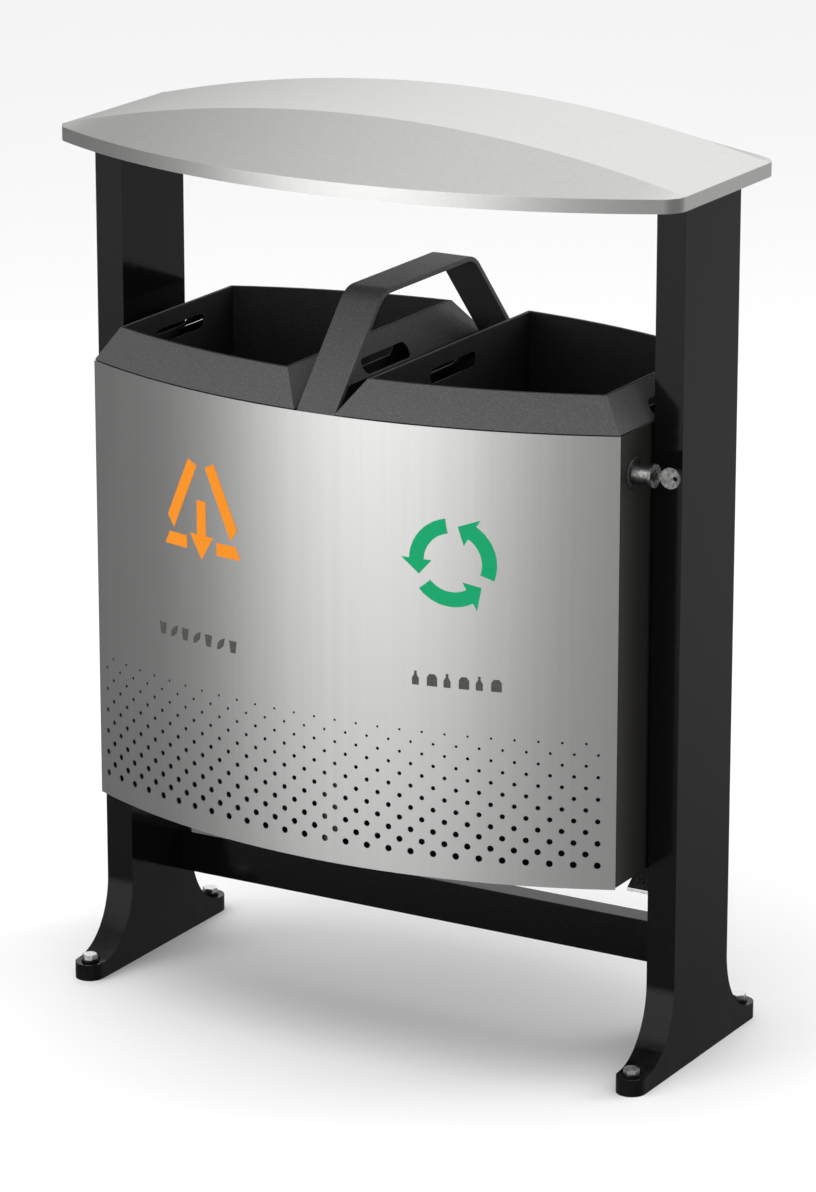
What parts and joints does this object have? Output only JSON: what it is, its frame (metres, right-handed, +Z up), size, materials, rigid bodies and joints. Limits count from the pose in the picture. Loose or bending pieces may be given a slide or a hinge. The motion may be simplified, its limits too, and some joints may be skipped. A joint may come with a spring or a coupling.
{
  "type": "recycling bin station",
  "caption": "Free-standing twin recycling bin station: two posts with flared feet carry an arched roof over a tilting housing with lift-out bins.",
  "frame": {"origin": "on the floor, midway between the two posts and midway between front and back", "axes": "+X from the left post to the right post, -Y towards the front, +Z up"},
  "size_m": [0.7932, 0.4524, 1.0685],
  "materials": {
    "post_paint": "gloss black powder coat",
    "stainless_sheet": "vertically brushed stainless sheet",
    "roof_steel": "fine satin stainless sheet",
    "side_paint": "satin near-black paint",
    "bin_powder": "fine-textured dark grey powder coat",
    "zinc_plate": "bright zinc-plated fasteners and brackets",
    "lock_metal": "worn nickel plate",
    "nylon": "natural nylon"
  },
  "bodies": {
    "frame": {"left_post": "post_paint", "right_post": "post_paint", "rear_rail": "post_paint", "roof_shell": "roof_steel", "roof_liner_panel": "roof_steel", "roof_stiffener": "roof_steel", "roof_spigot_left": "zinc_plate", "roof_spigot_right": "zinc_plate", "roof_screw_left": "zinc_plate", "roof_screw_right": "zinc_plate", "tilt_stop_left": "zinc_plate", "tilt_stop_right": "zinc_plate", "stop_screw_left_front": "zinc_plate", "stop_screw_left_rear": "zinc_plate", "stop_screw_right_front": "zinc_plate", "stop_screw_right_rear": "zinc_plate", "pivot_bolt_left": "zinc_plate", "pivot_bolt_right": "zinc_plate", "pivot_nut_left": "zinc_plate", "pivot_nut_right": "zinc_plate", "anchor_bolt_left_front": "zinc_plate", "anchor_washer_left_front": "post_paint", "anchor_bolt_left_rear": "zinc_plate", "anchor_washer_left_rear": "post_paint", "anchor_bolt_right_front": "zinc_plate", "anchor_washer_right_front": "post_paint", "anchor_bolt_right_rear": "zinc_plate", "anchor_washer_right_rear": "post_paint"},
    "housing": {"front_panel": "stainless_sheet", "back_panel": "stainless_sheet", "left_side_wall": "side_paint", "right_side_wall": "side_paint", "floor_tray": "side_paint", "centre_divider": "side_paint", "strap_handle": "bin_powder", "handle_nut_front_left": "zinc_plate", "handle_nut_front_right": "zinc_plate", "handle_nut_rear_left": "zinc_plate", "handle_nut_rear_right": "zinc_plate", "pivot_bush_left": "nylon", "pivot_bush_right": "nylon", "lock_rosette": "lock_metal", "lock_barrel": "lock_metal", "lock_ring_nut": "zinc_plate", "lock_bolt_guide": "nylon"},
    "lock_plug": {"lock_plug": "lock_metal"},
    "key": {"key": "lock_metal"},
    "lock_bolt": {"lock_bolt": "zinc_plate"},
    "left_bin": {"left_bin": "bin_powder", "left_bin_collar": "bin_powder"},
    "right_bin": {"right_bin": "bin_powder", "right_bin_collar": "bin_powder"}
  },
  "joints": [
    {"name": "housing_tilt", "type": "hinge", "parent": "frame", "child": "housing", "pos_m": [0, -0.03, 0.272], "axis": [1, 0, 0], "range_deg": [0, 35]},
    {"name": "left_bin_lift", "type": "slide", "parent": "housing", "child": "left_bin", "axis": [0, 0, 1], "range_m": [0, 0.17]},
    {"name": "right_bin_lift", "type": "slide", "parent": "housing", "child": "right_bin", "axis": [0, 0, 1], "range_m": [0, 0.17]},
    {"name": "lock_turn", "type": "hinge", "parent": "housing", "child": "lock_plug", "pos_m": [0.3678, -0.104, 0.708], "axis": [1, 0, 0], "range_deg": [0, 90]},
    {"name": "lock_bolt_throw", "type": "slide", "parent": "housing", "child": "lock_bolt", "axis": [1, 0, 0], "range_m": [0, 0.011]},
    {"name": "key_withdraw", "type": "slide", "parent": "lock_plug", "child": "key", "axis": [1, 0, 0], "range_m": [0, 0.03]}
  ],
  "couplings": [
    {"joint": "lock_turn", "follows": "lock_bolt_throw", "rad_per_m": 142.75}
  ]
}
